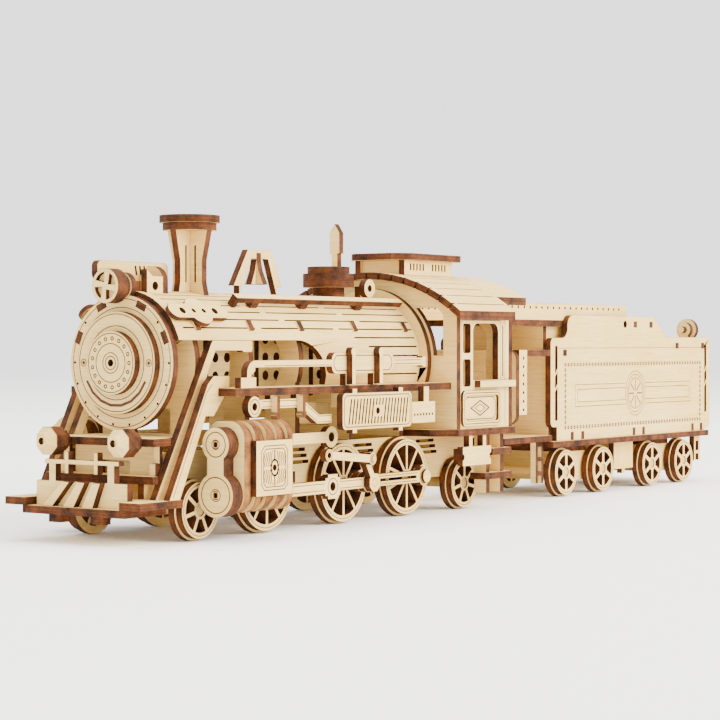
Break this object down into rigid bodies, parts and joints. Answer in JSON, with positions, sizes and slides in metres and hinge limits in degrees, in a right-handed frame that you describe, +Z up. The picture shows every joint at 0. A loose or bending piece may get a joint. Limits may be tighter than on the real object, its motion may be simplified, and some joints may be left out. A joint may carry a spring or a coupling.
{
  "type": "wooden 3d jigsaw model",
  "caption": "Slot-together plywood model of a steam locomotive with tender, laser-cut from flat sheet, with turning wheels, coupled drive rods and a swinging tender on bogies.",
  "frame": {"origin": "on the ground below the middle of the train, on its centre line", "axes": "+X along the train towards the tender, +Y across it, +Z up"},
  "size_m": [0.316, 0.0668, 0.0846],
  "materials": {
    "sheet_face": "unfinished pale basswood ply, laser-burnt edges",
    "sheet_edge": "laser-burnt ply edge",
    "sheet_shade": "unfinished basswood ply"
  },
  "bodies": {
    "locomotive": {"main_frames": "sheet_shade", "frame_stretchers": "sheet_shade", "pilot_deck": "sheet_shade", "pilot_plate": "sheet_face", "pilot_bars": "sheet_face", "front_decks": "sheet_shade", "marker_lamps": "sheet_edge", "front_pipes": "sheet_face", "front_stays": "sheet_face", "smokebox_front": "sheet_face", "smokebox_door": "sheet_face", "headlamp": "sheet_edge", "lamp_bracket": "sheet_face", "boiler_formers": "sheet_shade", "boiler_shell": "sheet_face", "shell_trim": "sheet_face", "chimney": "sheet_face", "bell_frame": "sheet_face", "bell": "sheet_edge", "steam_dome": "sheet_edge", "running_boards": "sheet_edge", "grille_panels": "sheet_face", "air_tanks": "sheet_face", "feed_pipes": "sheet_face", "cylinder_blocks": "sheet_edge", "cylinder_ends": "sheet_face", "cylinder_covers": "sheet_face", "cab_floor": "sheet_edge", "cab_front": "sheet_shade", "cab_sides": "sheet_face", "cab_trim": "sheet_edge", "cab_roof": "sheet_face", "cab_rear_arch": "sheet_shade", "roof_vent": "sheet_face", "cab_steps": "sheet_edge", "injectors": "sheet_face"},
    "leading_wheels": {"leading_wheelset": "sheet_face"},
    "driving_wheels_1": {"driver_wheelset_1": "sheet_face"},
    "driving_wheels_2": {"driver_wheelset_2": "sheet_face", "return_cranks": "sheet_face"},
    "driving_wheels_3": {"driver_wheelset_3": "sheet_face"},
    "trailing_wheels": {"trailing_wheelset": "sheet_face"},
    "coupling_rods": {"side_rods": "sheet_face"},
    "connecting_rods": {"main_rods": "sheet_face"},
    "valve_rods": {"eccentric_rods": "sheet_face"},
    "piston_crossheads": {"crossheads": "sheet_face"},
    "tender": {"tender_floor": "sheet_edge", "tender_sides": "sheet_face", "tender_bulkheads": "sheet_shade", "tender_decks": "sheet_edge", "coal_boards": "sheet_face", "gangway": "sheet_shade", "tender_ladders": "sheet_face", "rear_lamps": "sheet_edge"},
    "bogie_front": {"front_bogie": "sheet_shade"},
    "bogie_rear": {"rear_bogie": "sheet_shade"},
    "tender_wheels_1": {"tender_wheelset_1": "sheet_face"},
    "tender_wheels_2": {"tender_wheelset_2": "sheet_face"},
    "tender_wheels_3": {"tender_wheelset_3": "sheet_face"},
    "tender_wheels_4": {"tender_wheelset_4": "sheet_face"}
  },
  "joints": [
    {"name": "leading_spin", "type": "hinge", "parent": "locomotive", "child": "leading_wheels", "pos_m": [-0.132, 0, 0.00784], "axis": [0, 1, 0], "continuous": true},
    {"name": "driver_1_spin", "type": "hinge", "parent": "locomotive", "child": "driving_wheels_1", "pos_m": [-0.1047, 0, 0.01144], "axis": [0, 1, 0], "continuous": true},
    {"name": "driver_2_spin", "type": "hinge", "parent": "locomotive", "child": "driving_wheels_2", "pos_m": [-0.0702, 0, 0.01144], "axis": [0, 1, 0], "continuous": true},
    {"name": "driver_3_spin", "type": "hinge", "parent": "locomotive", "child": "driving_wheels_3", "pos_m": [-0.0389, 0, 0.01144], "axis": [0, 1, 0], "continuous": true},
    {"name": "trailing_spin", "type": "hinge", "parent": "locomotive", "child": "trailing_wheels", "pos_m": [-0.0078, 0, 0.00784], "axis": [0, 1, 0], "continuous": true},
    {"name": "coupling_rod_pivot", "type": "hinge", "parent": "driving_wheels_2", "child": "coupling_rods", "pos_m": [-0.0652, 0, 0.01144], "axis": [0, 1, 0], "continuous": true},
    {"name": "connecting_rod_pivot", "type": "hinge", "parent": "driving_wheels_2", "child": "connecting_rods", "pos_m": [-0.0652, 0, 0.01144], "axis": [0, 1, 0], "continuous": true},
    {"name": "valve_rod_pivot", "type": "hinge", "parent": "driving_wheels_2", "child": "valve_rods", "pos_m": [-0.0694, 0, 0.01824], "axis": [0, 1, 0], "continuous": true},
    {"name": "crosshead_slide", "type": "slide", "parent": "locomotive", "child": "piston_crossheads", "axis": [1, 0, 0], "range_m": [-0.01, 0]},
    {"name": "tender_swing", "type": "hinge", "parent": "locomotive", "child": "tender", "pos_m": [0.01, 0, 0.018], "axis": [0, 0, 1], "range_deg": [-10, 10]},
    {"name": "front_bogie_swivel", "type": "hinge", "parent": "tender", "child": "bogie_front", "pos_m": [0.0666, 0, 0.015], "axis": [0, 0, 1], "range_deg": [-4, 4]},
    {"name": "rear_bogie_swivel", "type": "hinge", "parent": "tender", "child": "bogie_rear", "pos_m": [0.127, 0, 0.015], "axis": [0, 0, 1], "range_deg": [-4, 4]},
    {"name": "tender_spin_1", "type": "hinge", "parent": "bogie_front", "child": "tender_wheels_1", "pos_m": [0.0541, 0, 0.00794], "axis": [0, 1, 0], "continuous": true},
    {"name": "tender_spin_2", "type": "hinge", "parent": "bogie_front", "child": "tender_wheels_2", "pos_m": [0.0791, 0, 0.00794], "axis": [0, 1, 0], "continuous": true},
    {"name": "tender_spin_3", "type": "hinge", "parent": "bogie_rear", "child": "tender_wheels_3", "pos_m": [0.11475, 0, 0.00794], "axis": [0, 1, 0], "continuous": true},
    {"name": "tender_spin_4", "type": "hinge", "parent": "bogie_rear", "child": "tender_wheels_4", "pos_m": [0.13925, 0, 0.00794], "axis": [0, 1, 0], "continuous": true}
  ],
  "couplings": [
    {"joint": "driver_3_spin", "follows": "driver_2_spin", "ratio": 1},
    {"joint": "coupling_rod_pivot", "follows": "driver_2_spin", "ratio": -1},
    {"joint": "connecting_rod_pivot", "follows": "driver_2_spin", "ratio": -1},
    {"joint": "valve_rod_pivot", "follows": "driver_2_spin", "ratio": -1}
  ]
}
